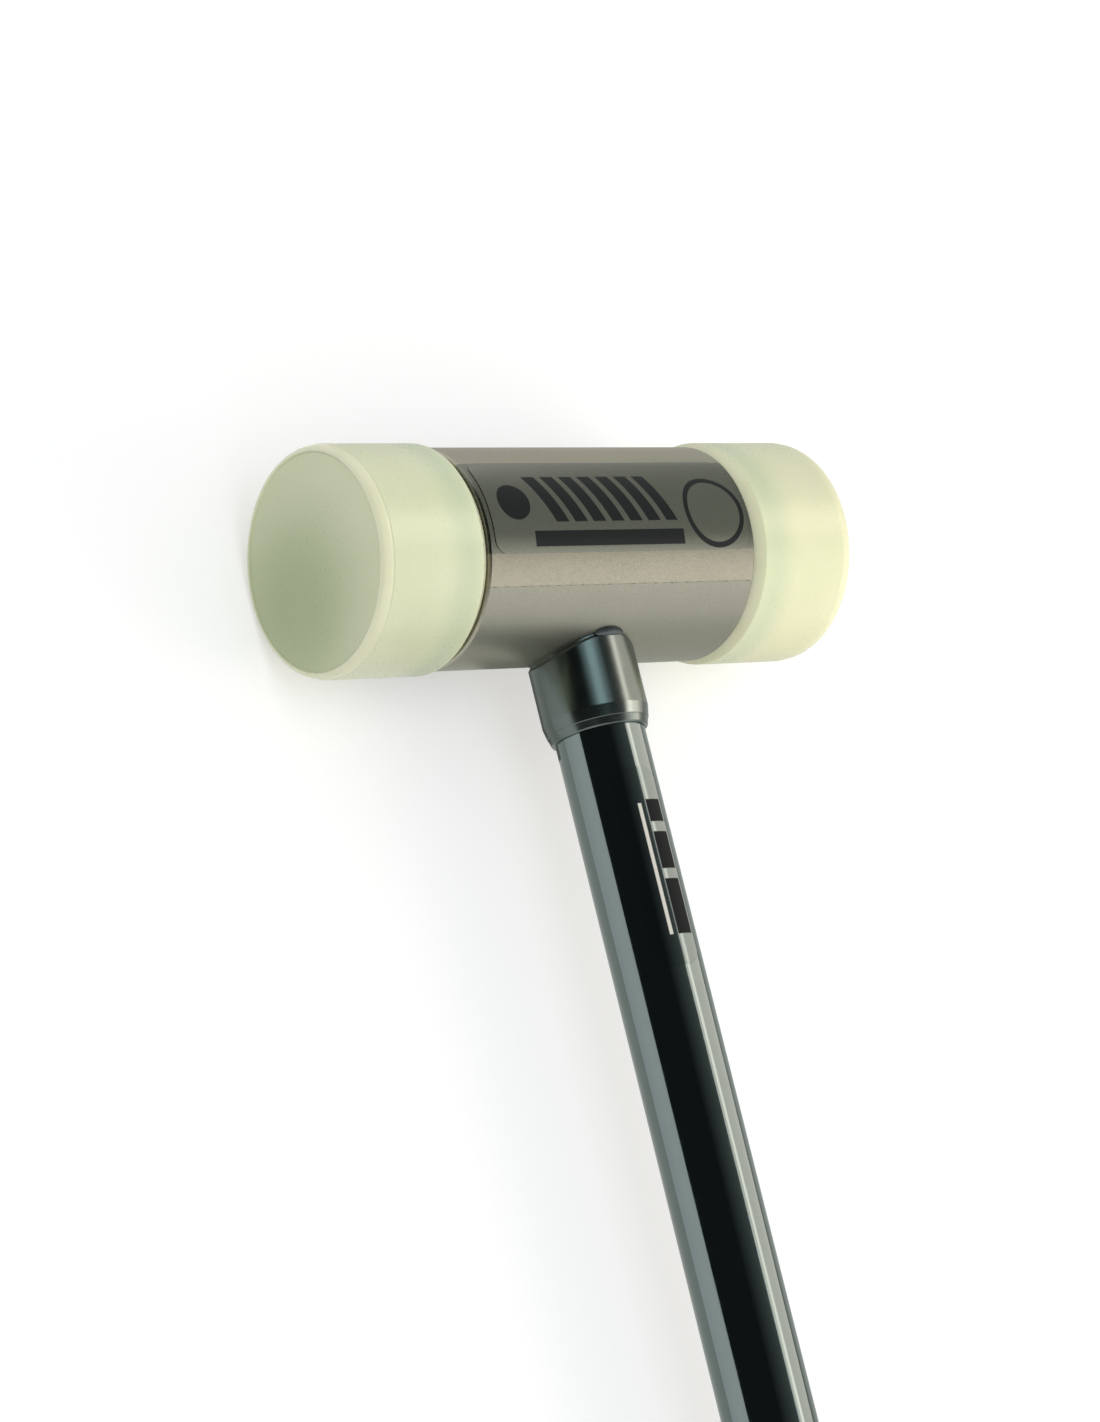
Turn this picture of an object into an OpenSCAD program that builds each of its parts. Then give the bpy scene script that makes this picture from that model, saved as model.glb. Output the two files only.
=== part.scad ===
/* [Head tube] */
// Outer diameter of the steel tube of the head
tube_d = 33.7; // [32:0.1:34.4]
// Wall thickness of the tube
tube_wall = 3.2; // [2.4:0.1:3.6]
// Length of the tube from end to end
tube_len = 52.4; // [50:0.2:70]
// Chamfer on the outer edge of both tube ends
tube_chamfer = 0.3; // [0.2:0.1:0.6]

/* [Striking faces] */
// Diameter of the nylon faces
face_d = 35; // [34.6:0.1:38]
// Length of a face outside the tube
face_len = 20; // [16:0.1:26]
// Length of the chamfer at the front of a face, along the head
front_chamfer_len = 1.3; // [0.8:0.1:2.5]
// Depth of the chamfer at the front of a face, toward the head's axis
front_chamfer_depth = 1.05; // [0.8:0.05:2]
// Length of the chamfer at the rear of a face, along the head
rear_chamfer_len = 1.7; // [1:0.1:3]
// Depth of the chamfer at the rear of a face, toward the head's axis
rear_chamfer_depth = 1.5; // [1:0.1:2]
// Length of the spigot inside the tube
spigot_len = 10; // [8:0.5:13]
// Chamfer on the inner end of the spigot
spigot_chamfer = 1; // [0.5:0.1:2]
// Radial clearance of the spigot in the tube
spigot_clearance = 0.05; // [0.02:0.01:0.1]
// Gap between the shoulder of a face and the end of the tube
shoulder_gap = 0.05; // [0.02:0.01:0.2]

/* [Shot chamber] */
// Thickness of the steel discs that close the chamber
bulkhead_t = 2; // [1.5:0.1:3]
// Room between a spigot and its disc
bulkhead_room = 0.5; // [0.3:0.1:1]
// Radial clearance of the discs in the tube
bulkhead_clearance = 0.02; // [0.01:0.01:0.1]
// Diameter of a steel ball
shot_d = 4.5; // [3.5:0.1:5]
// Gap between neighbouring balls
shot_gap = 0.1; // [0.05:0.05:0.2]
// Gap between the balls and the tube
shot_wall_gap = 0.3; // [0.2:0.1:0.6]
// Balls in a row along the head
shot_row = 4; // [2:1:4]
// Share of the bore's height that the balls fill
shot_fill_share = 0.75; // [0.4:0.05:0.8]

/* [Collar] */
// Outer diameter of the collar
collar_d = 16.6; // [15.5:0.1:17.5]
// Length of the collar below the head tube
collar_len = 12.4; // [9:0.1:18]
// Length of the cone at the crimped end
crimp_len = 3.1; // [2:0.1:5]
// Height of the crimped edge above the handle
crimp_lip = 0.5; // [0.3:0.05:0.7]
// Depth of the chamfer on the upper end of the collar
collar_chamfer_depth = 0.5; // [0.5:0.05:1]
// Length of that chamfer along the handle
collar_chamfer_len = 0.7; // [0.6:0.1:2]
// Gap where two fixed steel pieces meet
steel_gap = 0.02; // [0.01:0.01:0.05]
// Height of a weld bead above the pieces it joins
weld_leg = 0.7; // [0.4:0.1:0.9]
// Length of a weld bead along the head
weld_len = 7; // [4:0.5:10]

/* [Handle] */
// Outer diameter of the handle tube
handle_d = 14; // [13:0.1:15]
// Wall thickness of the handle tube
handle_wall = 2.2; // [1:0.1:2.5]
// Distance from the head's axis to the far end of the grip
handle_reach = 282; // [240:1:340]

/* [Grip] */
// Length of the grip
grip_len = 114; // [100:1:130]
// Thickness of the solid end beyond the handle tube
grip_end_len = 14; // [12:0.5:20]
// Diameter of the grip's front ring
grip_ring_d = 21.5; // [20:0.5:23]
// Length of the front ring
grip_ring_len = 5; // [4:0.5:8]
// Diameter of the grip's waist behind the front ring
grip_waist_d = 19; // [18:0.5:20]
// Diameter of the grip's end knob
grip_knob_d = 25; // [24:0.5:28]
// Length of the end knob
grip_knob_len = 20; // [18:0.5:24]
// Length of the slope from the front ring down to the waist
ring_slope_len = 5; // [3:0.5:8]
// Length of the slope from the waist up to the end knob
knob_slope_len = 10; // [6:0.5:14]
// Radius of the grip's outer edges
grip_edge = 2; // [1:0.1:2.4]
// Number of grooves round the grip
groove_count = 9; // [5:1:11]
// Width of a groove
groove_w = 3; // [2:0.1:3.6]
// Depth of a groove
groove_depth = 0.8; // [0.4:0.1:1.2]
// Diameter of the hanging hole
hang_hole_d = 6; // [4:0.5:7]
// Length of the plug in the end of the handle tube
plug_len = 12; // [8:0.5:20]
// Thickness of the plug's flange
plug_flange_t = 1.5; // [1:0.1:2]

/* [Labels] */
// Thickness of the label film
film_t = 0.12; // [0.08:0.01:0.2]
// Length of the head's label
head_label_len = 50; // [40:0.5:52]
// Width of the head's label across the tube
head_label_w = 15.5; // [10:0.5:20]
// Turn of the head's label round the head's axis, in degrees
head_label_turn = -10; // [-20:1:20]
// Length of the handle's label
handle_label_len = 31; // [24:0.5:36]
// Width of the handle's label across the tube
handle_label_w = 7.5; // [6:0.5:9]
// Distance from the collar to the handle's label
handle_label_gap = 7; // [4:0.5:20]
// Turn of the handle's label round the handle's axis, in degrees
handle_label_turn = -10; // [-40:1:40]
// Corner radius of both labels
label_corner = 2; // [1:0.1:2.8]
// Gap between a label and its tube
film_gap = 0.01; // [0.01:0.01:0.03]

/* [Hidden] */
$fn = 64;

face_r = face_d / 2;
tube_r = tube_d / 2;
bore_r = tube_r - tube_wall;
tube_end = tube_len / 2;
shoulder = tube_end + shoulder_gap;
face_end = tube_end + face_len;
spigot_r = bore_r - spigot_clearance;
spigot_end = tube_end - spigot_len;
bulkhead_outer = spigot_end - bulkhead_room;
bulkhead_inner = bulkhead_outer - bulkhead_t;

shot_pitch = shot_d + shot_gap;
shot_rise = shot_pitch * sin(60);
shot_reach = bore_r - shot_wall_gap - shot_d / 2;
shot_layers = floor(2 * shot_reach * shot_fill_share / shot_rise);
shot_half_row = ceil(bore_r / shot_pitch);

collar_r = collar_d / 2;
neck_r = collar_r - collar_chamfer_depth;
collar_reach = tube_r + collar_len;
handle_r = handle_d / 2;
handle_bore_r = handle_r - handle_wall;
tube_stop = handle_reach - grip_end_len;
plug_stop = tube_stop + plug_flange_t;
seat_r = tube_r + steel_gap;
handle_label_reach = collar_reach + handle_label_gap + handle_label_len / 2;

grip_start = handle_reach - grip_len;
ring_r = grip_ring_d / 2;
waist_r = grip_waist_d / 2;
knob_r = grip_knob_d / 2;
knob_start = handle_reach - grip_knob_len;
knob_slope_start = knob_start - knob_slope_len;
ring_slope_end = grip_start + grip_ring_len + ring_slope_len;
groove_span = knob_slope_start - ring_slope_end;
groove_r = (groove_w * groove_w / 4 + groove_depth * groove_depth) / (2 * groove_depth);
hang_hole_reach = handle_reach - grip_end_len / 2;

// The hammer lies on its faces and its knob: the turn round the head's axis that brings both down
rest_reach = handle_reach - grip_edge;
rest_r = norm([rest_reach, knob_r - grip_edge]);
lie_angle = asin((face_r - grip_edge) / rest_r) - atan2(knob_r - grip_edge, rest_reach);
far_end = rest_reach * cos(lie_angle) + (knob_r - grip_edge) * sin(lie_angle) + grip_edge;
head_place = (far_end - face_r) / 2;

// Lays the hammer on the table, head axis along X and handle toward -Y
module laid() {
    translate([0, head_place, face_r])
        rotate([lie_angle, 0, 0])
            children();
}

// Turns a shape drawn along Z to run along the head
module along_head() {
    rotate([0, 90, 0])
        children();
}

// Turns a shape drawn along Z to run down the handle
module along_handle() {
    rotate([90, 0, 0])
        children();
}

module head_tube() {
    color("darkkhaki")
        laid()
            along_head()
                rotate_extrude()
                    polygon([
                        [bore_r, -tube_end],
                        [tube_r - tube_chamfer, -tube_end],
                        [tube_r, tube_chamfer - tube_end],
                        [tube_r, tube_end - tube_chamfer],
                        [tube_r - tube_chamfer, tube_end],
                        [bore_r, tube_end]
                    ]);
}

// Half section of a face, drawn outward from the middle of the head
module face_section() {
    polygon([
        [0, spigot_end],
        [spigot_r - spigot_chamfer, spigot_end],
        [spigot_r, spigot_end + spigot_chamfer],
        [spigot_r, shoulder],
        [face_r - rear_chamfer_depth, shoulder],
        [face_r, shoulder + rear_chamfer_len],
        [face_r, face_end - front_chamfer_len],
        [face_r - front_chamfer_depth, face_end],
        [0, face_end]
    ]);
}

module face() {
    color("beige")
        along_head()
            rotate_extrude()
                face_section();
}

module right_face() {
    laid()
        face();
}

module left_face() {
    laid()
        mirror([1, 0, 0])
            face();
}

module bulkhead() {
    color("gray")
        along_head()
            translate([0, 0, bulkhead_inner])
                cylinder(r = bore_r - bulkhead_clearance, h = bulkhead_t);
}

module right_bulkhead() {
    laid()
        bulkhead();
}

module left_bulkhead() {
    laid()
        mirror([1, 0, 0])
            bulkhead();
}

// Balls stacked in staggered layers on the bottom of the bore, one stack beside the other
module steel_shot() {
    color("silver")
        laid()
            for (
                stack = [0 : shot_row - 1],
                layer = [0 : shot_layers - 1],
                place = [-shot_half_row : shot_half_row]
            )
                let (
                    x = (stack - (shot_row - 1) / 2) * shot_pitch,
                    y = (place + (layer % 2) / 2) * shot_pitch,
                    z = layer * shot_rise - shot_reach
                )
                    if (norm([y, z]) <= shot_reach)
                        translate([x, y, z])
                            sphere(d = shot_d);
}

// Solid round bar along the head, as wide as the seat of the pieces that meet the head tube
module head_core(r = seat_r) {
    along_head()
        cylinder(r = r, h = tube_len, center = true);
}

module collar() {
    color("dimgray")
        laid()
            difference() {
                along_handle()
                    rotate_extrude()
                        polygon([
                            [handle_r + steel_gap, 0],
                            [neck_r, 0],
                            [neck_r, tube_r],
                            [collar_r, tube_r + collar_chamfer_len],
                            [collar_r, collar_reach - crimp_len],
                            [handle_r + crimp_lip, collar_reach],
                            [handle_r + steel_gap, collar_reach]
                        ]);
                head_core();
            }
}

// One bead on the front of the collar and one on the back
module collar_welds() {
    color("slategray")
        laid()
            difference() {
                intersection() {
                    along_handle()
                        cylinder(r = neck_r + weld_leg, h = tube_r);
                    head_core(seat_r + weld_leg);
                    cube([weld_len, tube_d, tube_d], center = true);
                }
                head_core();
                along_handle()
                    cylinder(r = neck_r + steel_gap, h = tube_d);
            }
}

module handle_tube() {
    color("lightsteelblue")
        laid()
            difference() {
                along_handle()
                    cylinder(r = handle_r, h = tube_stop);
                along_handle()
                    cylinder(r = handle_bore_r, h = handle_reach);
                head_core();
            }
}

// Quarter round that fills a cut corner of a half section; side is 1 at its far end, -1 at its near end
module round_corner(r, along, radius, side) {
    translate([r - radius, along - side * radius])
        intersection() {
            circle(radius);
            mirror([0, side < 0 ? 1 : 0])
                square(radius);
        }
}

// Half section of the grip, drawn down the handle
module grip_section() {
    difference() {
        union() {
            polygon([
                [handle_r + steel_gap, grip_start],
                [ring_r - grip_edge, grip_start],
                [ring_r, grip_start + grip_edge],
                [ring_r, grip_start + grip_ring_len],
                [waist_r, ring_slope_end],
                [waist_r, knob_slope_start],
                [knob_r, knob_start],
                [knob_r, handle_reach - grip_edge],
                [knob_r - grip_edge, handle_reach],
                [0, handle_reach],
                [0, plug_stop + steel_gap],
                [handle_r + steel_gap, plug_stop + steel_gap]
            ]);
            round_corner(ring_r, grip_start, grip_edge, -1);
            round_corner(knob_r, handle_reach, grip_edge, 1);
        }
        for (groove = [1 : groove_count])
            translate([
                waist_r + groove_r - groove_depth,
                ring_slope_end + groove * groove_span / (groove_count + 1)
            ])
                circle(groove_r);
    }
}

module grip() {
    color("darkslategray")
        laid()
            difference() {
                along_handle()
                    rotate_extrude()
                        grip_section();
                translate([0, -hang_hole_reach, 0])
                    cylinder(d = hang_hole_d, h = 2 * grip_knob_d, center = true);
            }
}

module tube_end_plug() {
    color("dimgray")
        laid()
            along_handle() {
                translate([0, 0, tube_stop - plug_len])
                    cylinder(r = handle_bore_r - steel_gap, h = plug_len + plug_flange_t);
                translate([0, 0, tube_stop + steel_gap])
                    cylinder(r = handle_r, h = plug_flange_t - steel_gap);
            }
}

// Flat blank of a label with round corners, its length along X
module label_blank(length, width) {
    square([length - 2 * label_corner, width], center = true);
    square([length, width - 2 * label_corner], center = true);
    for (x = [-1, 1], y = [-1, 1])
        translate([x * (length / 2 - label_corner), y * (width / 2 - label_corner)])
            circle(label_corner);
}

// Thin round shell on a tube of radius r, drawn along Z
module film(r, length) {
    difference() {
        cylinder(r = r + film_gap + film_t, h = length);
        cylinder(r = r + film_gap, h = length);
    }
}

module head_label() {
    color("darkgray")
        laid()
            rotate([head_label_turn, 0, 0])
                intersection() {
                    along_head()
                        translate([0, 0, -tube_end])
                            film(tube_r, tube_len);
                    linear_extrude(height = tube_d)
                        label_blank(head_label_len, head_label_w);
                }
}

module handle_label() {
    color("darkgray")
        laid()
            rotate([0, handle_label_turn, 0])
                intersection() {
                    along_handle()
                        film(handle_r, grip_start);
                    translate([0, -handle_label_reach, 0])
                        linear_extrude(height = handle_d)
                            rotate(90)
                                label_blank(handle_label_len, handle_label_w);
                }
}

head_tube();
left_face();
right_face();
left_bulkhead();
right_bulkhead();
steel_shot();
collar();
collar_welds();
handle_tube();
grip();
tube_end_plug();
head_label();
handle_label();
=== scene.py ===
import math

import bmesh
import bpy
from bpy.props import FloatProperty, FloatVectorProperty, IntProperty, PointerProperty
from mathutils import Matrix, Vector


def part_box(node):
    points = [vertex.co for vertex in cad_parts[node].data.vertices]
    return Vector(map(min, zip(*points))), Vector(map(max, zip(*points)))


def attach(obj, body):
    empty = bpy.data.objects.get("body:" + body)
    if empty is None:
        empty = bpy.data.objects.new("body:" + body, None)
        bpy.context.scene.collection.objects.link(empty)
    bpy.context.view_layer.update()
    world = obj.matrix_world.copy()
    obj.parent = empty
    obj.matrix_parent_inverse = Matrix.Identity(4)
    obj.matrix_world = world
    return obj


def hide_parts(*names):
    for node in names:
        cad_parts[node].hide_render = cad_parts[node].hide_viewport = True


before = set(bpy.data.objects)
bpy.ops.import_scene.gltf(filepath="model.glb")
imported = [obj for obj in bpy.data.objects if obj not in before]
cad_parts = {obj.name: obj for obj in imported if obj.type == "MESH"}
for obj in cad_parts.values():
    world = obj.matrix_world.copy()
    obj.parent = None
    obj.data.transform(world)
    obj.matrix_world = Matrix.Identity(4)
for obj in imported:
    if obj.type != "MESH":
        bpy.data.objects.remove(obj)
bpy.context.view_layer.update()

bl_info = {
    "name": "Soft face hammer",
    "version": (1, 0, 0),
    "blender": (4, 5, 0),
    "location": "View3D > Sidebar > Hammer",
    "description": "Dresses the solids of a soft face hammer and sets its stage",
    "category": "Object",
}

MM = 0.001


def linear(text):
    """An sRGB hex colour as linear RGBA."""
    parts = [int(text[i:i + 2], 16) / 255 for i in (1, 3, 5)]
    return [p / 12.92 if p <= 0.04045 else ((p + 0.055) / 1.055) ** 2.4 for p in parts] + [1.0]


# Sizes that the frame already knows

TUBE_LOW, TUBE_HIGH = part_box("head_tube")
FACE_LOW, FACE_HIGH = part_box("right_face")
HEAD_CENTRE = (TUBE_LOW + TUBE_HIGH) / 2
TUBE_R = (TUBE_HIGH.z - TUBE_LOW.z) / 2
TUBE_END = TUBE_HIGH.x
FACE_R = (FACE_HIGH.z - FACE_LOW.z) / 2
FACE_END = FACE_HIGH.x
SPIGOT_END = FACE_LOW.x
LIE_ANGLE = math.radians(1.0235362)

# Room between pieces that meet, and between a face's shoulder and the tube
GAP = 0.02 * MM
SHOULDER_GAP = 0.05 * MM
# Radius of the flat middle from which the end of a turned piece is closed
CORE = 1 * MM
# Length of the cylinder that cuts the head's curve out of collar and handle
HEAD_CUT = 60 * MM
# The handle tube stops this far inside the grip's end
HANDLE_STOP = 14 * MM
# Both labels sit this far round from the front
LABEL_TURN = math.radians(10)

# A piece drawn along Z is turned along the head or down the handle, and then laid on the table

LAID = Matrix.Translation(HEAD_CENTRE) @ Matrix.Rotation(LIE_ANGLE, 4, "X")
ALONG_HEAD = LAID @ Matrix.Rotation(math.pi / 2, 4, "Y")
ALONG_HEAD_LEFT = LAID @ Matrix.Rotation(-math.pi / 2, 4, "Y")
ALONG_HANDLE = LAID @ Matrix.Rotation(math.pi / 2, 4, "X")


class HammerSizes(bpy.types.PropertyGroup):
    tube_bore: FloatProperty(
        name="Tube bore radius", description="Inner radius of the head tube",
        default=13.65 * MM, unit="LENGTH")
    tube_chamfer: FloatProperty(
        name="Tube chamfer", description="Chamfer on the ends of the head tube",
        default=0.3 * MM, unit="LENGTH")
    bead_length: FloatProperty(
        name="Bead length", description="Length of the bead round a striking face, along the head",
        default=1.75 * MM, unit="LENGTH")
    bead_width: FloatProperty(
        name="Bead width", description="Width of the bead round a striking face, across its rim",
        default=0.85 * MM, unit="LENGTH")
    rear_chamfer: FloatProperty(
        name="Rear chamfer length", description="Length of the chamfer next to the head tube",
        default=1.7 * MM, unit="LENGTH")
    rear_depth: FloatProperty(
        name="Rear chamfer depth", description="Depth of the chamfer next to the head tube",
        default=1.5 * MM, unit="LENGTH")
    spigot_radius: FloatProperty(
        name="Spigot radius", description="Radius of the spigot of a face inside the tube",
        default=13.6 * MM, unit="LENGTH")
    nylon_edge: FloatProperty(
        name="Nylon edge", description="Radius of the outer edges of the nylon faces",
        default=0.6 * MM, unit="LENGTH")
    collar_radius: FloatProperty(
        name="Collar radius", description="Outer radius of the collar",
        default=8.3 * MM, unit="LENGTH")
    collar_neck: FloatProperty(
        name="Collar neck", description="Radius of the collar where it meets the head tube",
        default=7.95 * MM, unit="LENGTH")
    collar_reach: FloatProperty(
        name="Collar reach", description="Distance from the head's axis to the crimped end",
        default=29.25 * MM, unit="LENGTH")
    crimp_length: FloatProperty(
        name="Crimp length", description="Length of the cone at the crimped end",
        default=3.1 * MM, unit="LENGTH")
    handle_radius: FloatProperty(
        name="Handle radius", description="Outer radius of the handle tube",
        default=7 * MM, unit="LENGTH")
    handle_bore: FloatProperty(
        name="Handle bore", description="Inner radius of the handle tube",
        default=4.8 * MM, unit="LENGTH")
    handle_reach: FloatProperty(
        name="Handle reach", description="Distance from the head's axis to the far end of the grip",
        default=282 * MM, unit="LENGTH")
    grip_length: FloatProperty(
        name="Grip length", description="Length of the rubber grip",
        default=114 * MM, unit="LENGTH")
    groove_count: IntProperty(
        name="Grooves", description="Number of grooves round the grip", default=9, min=1)


class HammerColours(bpy.types.PropertyGroup):
    nylon: FloatVectorProperty(
        name="Nylon", description="Body colour of the striking faces",
        size=4, subtype="COLOR", min=0, max=1, default=linear("#E3E7C7"))
    # Painted shade: the middle of each striking face's front is painted in this deeper colour
    nylon_shade: FloatVectorProperty(
        name="Deep nylon", description="Colour of the striking faces where the nylon is thickest",
        size=4, subtype="COLOR", min=0, max=1, default=linear("#B4C197"))
    # Painted light: the thin edges of the striking faces are painted in this lighter colour
    nylon_edge: FloatVectorProperty(
        name="Nylon edge", description="Colour of the thin edges of the striking faces",
        size=4, subtype="COLOR", min=0, max=1, default=linear("#ECEDCE"))
    nickel: FloatVectorProperty(
        name="Nickel", description="Colour of the satin nickel on the head tube",
        size=4, subtype="COLOR", min=0, max=1, default=linear("#B6B1A1"))
    chrome: FloatVectorProperty(
        name="Chrome", description="Colour of the chrome on the handle",
        size=4, subtype="COLOR", min=0, max=1, default=linear("#7A8685"))
    black_nickel: FloatVectorProperty(
        name="Black nickel", description="Colour of the dark plating on the collar",
        size=4, subtype="COLOR", min=0, max=1, default=linear("#68716E"))
    rubber: FloatVectorProperty(
        name="Rubber", description="Colour of the grip",
        size=4, subtype="COLOR", min=0, max=1, default=linear("#1E1F21"))
    ink: FloatVectorProperty(
        name="Ink", description="Colour of the print on the labels",
        size=4, subtype="COLOR", min=0, max=1, default=linear("#15191B"))
    # Also painted on the bare tube along the label's band, as painted shade
    film: FloatVectorProperty(
        name="Film", description="Tone of the nickel seen through the head's label",
        size=4, subtype="COLOR", min=0, max=1, default=linear("#83857B"))
    floor: FloatVectorProperty(
        name="Floor", description="Colour of the floor",
        size=4, subtype="COLOR", min=0, max=1, default=linear("#E8E8E8"))


# Modelling

# Share of a side that a rounded corner may use up
ROUND_SHARE = 0.48
# Points closer than this are one point, on a turned piece and after a cut
TURN_MERGE = 0.001 * MM
CUT_MERGE = 0.008 * MM


def pick(piece):
    """Selects one piece and nothing else."""
    bpy.ops.object.select_all(action="DESELECT")
    piece.select_set(True)
    bpy.context.view_layer.objects.active = piece


def turn(name, stations, place, segments=144):
    """A turned piece: one ring, extruded and scaled from station to station along Z, and put in place."""
    bpy.ops.object.select_all(action="DESELECT")
    (along, wide), *rest = stations
    bpy.ops.mesh.primitive_circle_add(vertices=segments, radius=wide, location=(0, 0, along))
    piece = bpy.context.object
    piece.name = piece.data.name = name
    bpy.ops.object.transform_apply(location=True, rotation=True, scale=True)
    bpy.ops.object.mode_set(mode="EDIT")
    bpy.ops.mesh.select_all(action="SELECT")
    for there, width in rest:
        bpy.ops.mesh.extrude_region_move(TRANSFORM_OT_translate={"value": (0, 0, there - along)})
        bpy.ops.transform.resize(value=(width / wide, width / wide, 1), center_override=(0, 0, there))
        along, wide = there, width
    bpy.ops.mesh.select_all(action="SELECT")
    bpy.ops.mesh.remove_doubles(threshold=TURN_MERGE)
    bpy.ops.mesh.fill_holes(sides=0)
    bpy.ops.mesh.select_all(action="SELECT")
    bpy.ops.mesh.normals_make_consistent(inside=False)
    bpy.ops.object.mode_set(mode="OBJECT")
    put(piece, place)
    return piece


def rounded(corners, steps=6):
    """Stations of a profile whose corners, given as along, wide and radius, are rounded."""
    stations = []
    for index, (along, wide, radius) in enumerate(corners):
        corner = Vector((along, wide))
        if radius == 0 or index in (0, len(corners) - 1):
            stations.append((along, wide))
            continue
        back = Vector(corners[index - 1][:2]) - corner
        ahead = Vector(corners[index + 1][:2]) - corner
        opening = back.angle(ahead)
        reach = min(radius / math.tan(opening / 2), ROUND_SHARE * back.length, ROUND_SHARE * ahead.length)
        start, end = corner + back.normalized() * reach, corner + ahead.normalized() * reach
        for step in range(steps + 1):
            share = step / steps
            bend = start.lerp(corner, share).lerp(corner.lerp(end, share), share)
            stations.append(tuple(bend))
    return stations


def put(piece, place):
    """Moves a piece to its place and keeps that place in its mesh."""
    pick(piece)
    piece.matrix_world = place @ piece.matrix_world
    bpy.ops.object.transform_apply(location=True, rotation=True, scale=True)


def modify(piece, kind, **settings):
    """Adds a modifier, sets it and applies it."""
    pick(piece)
    bpy.ops.object.modifier_add(type=kind)
    modifier = piece.modifiers[-1]
    for name, value in settings.items():
        setattr(modifier, name, value)
    bpy.ops.object.modifier_apply(modifier=modifier.name)


def smooth(piece, angle=32):
    """Shades a piece smooth apart from its real edges."""
    pick(piece)
    bpy.ops.object.shade_smooth_by_angle(angle=math.radians(angle))
    modify(piece, "WEIGHTED_NORMAL", weight=60, keep_sharp=True)


def drill(piece, radius, depth, place, segments=256):
    """Cuts a round hole into a piece; the hole is drawn along Z and then put in its place."""
    bpy.ops.object.select_all(action="DESELECT")
    bpy.ops.mesh.primitive_cylinder_add(vertices=segments, radius=radius, depth=depth)
    cutter = bpy.context.object
    put(cutter, place)
    modify(piece, "BOOLEAN", operation="DIFFERENCE", solver="EXACT", object=cutter)
    bpy.data.objects.remove(cutter)
    # Points that the cut leaves all but on top of each other would make slivers
    bpy.ops.object.mode_set(mode="EDIT")
    bpy.ops.mesh.select_all(action="SELECT")
    bpy.ops.mesh.remove_doubles(threshold=CUT_MERGE)
    bpy.ops.mesh.dissolve_degenerate(threshold=TURN_MERGE)
    bpy.ops.object.mode_set(mode="OBJECT")


def dress(piece, material, body, slot, *nodes):
    """Gives a new piece its material, its body and the nodes that it stands for; the slot is not used."""
    piece.data.materials.clear()
    piece.data.materials.append(material)
    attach(piece, body)
    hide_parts(*nodes)


def paint(node, material):
    """Gives a solid that stays in view its material."""
    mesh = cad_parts[node].data
    mesh.materials.clear()
    mesh.materials.append(material)


# Materials

# Sockets of a Mix node that mixes colours
MIX_A, MIX_B, MIX_OUT = 6, 7, 2
# Half the width of a mask's edge in millimetres, where nothing else is said
MASK_EDGE = 0.08
METAL = {"Metallic": 1.0}


def add(tree, kind, inputs=(), output=0, **settings):
    """Adds a node with its settings, sets or links its inputs, by name or in order, and gives one output."""
    made = tree.nodes.new("ShaderNode" + kind)
    for name, value in settings.items():
        setattr(made, name, value)
    for name, value in inputs.items() if isinstance(inputs, dict) else enumerate(inputs):
        if isinstance(value, bpy.types.NodeSocket):
            tree.links.new(value, made.inputs[name])
        else:
            made.inputs[name].default_value = value
    return made.outputs[output] if made.outputs else made


def empty(owner):
    """The node tree of a material or a world, with nothing in it."""
    owner.use_nodes = True
    owner.node_tree.nodes.clear()
    return owner.node_tree


def begin(name):
    """A new material, its tree, and the place on the hammer in millimetres from the head's centre."""
    material = bpy.data.materials.new(name)
    tree = empty(material)
    place = add(tree, "Mapping", {
        "Vector": add(tree, "TexCoord", output="Object"), "Location": HEAD_CENTRE,
        "Rotation": (LIE_ANGLE, 0, 0), "Scale": (MM, MM, MM)}, vector_type="TEXTURE")
    return material, tree, place


def surface(material, inputs):
    """Ends a material with its one shader, from constants and links."""
    tree = material.node_tree
    add(tree, "OutputMaterial", {"Surface": add(tree, "BsdfPrincipled", inputs)})
    return material


def toned(colour, red, green=None, blue=None):
    """A colour made weaker or stronger, as a whole or with a share each for red, green and blue."""
    shares = (red, green or red, blue or red, 1)
    return [min(1, part * share) for part, share in zip(colour, shares)]


def between(tree, value, low, high, soft=MASK_EDGE):
    """One where a value lies between two limits, and nothing outside them."""
    rise, fall = (
        add(tree, "MapRange", (value, limit - soft, limit + soft), interpolation_type="SMOOTHSTEP")
        for limit in (low, high))
    return add(tree, "Math", (rise, fall), operation="SUBTRACT", use_clamp=True)


def patch(tree, along, ends, across, sides):
    """One inside a rectangle with these ends and sides, and nothing outside it."""
    inside = between(tree, along, *ends), between(tree, across, *sides)
    return add(tree, "Math", inside, operation="MULTIPLY")


def distance(tree, along, across, centre):
    """Distance from a centre, by two of the three directions."""
    off = [add(tree, "Math", pair, operation="SUBTRACT") for pair in zip((along, across), centre)]
    flat = add(tree, "CombineXYZ", (*off, 0.0))
    return add(tree, "VectorMath", (flat,), output="Value", operation="LENGTH")


def head_place(tree, place):
    """Place along the head and arc round it, in millimetres."""
    x, y, z = add(tree, "SeparateXYZ", (place,)).node.outputs
    angle = add(tree, "Math", (y, z), operation="ARCTAN2")
    return x, add(tree, "Math", (angle, TUBE_R / MM), operation="MULTIPLY")


def handle_place(tree, place, radius):
    """Place down the handle and arc round it, in millimetres."""
    x, y, z = add(tree, "SeparateXYZ", (place,)).node.outputs
    angle = add(tree, "Math", (x, z), operation="ARCTAN2")
    down = add(tree, "Math", (y, -1.0), operation="MULTIPLY")
    return down, add(tree, "Math", (angle, radius / MM), operation="MULTIPLY")


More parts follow.
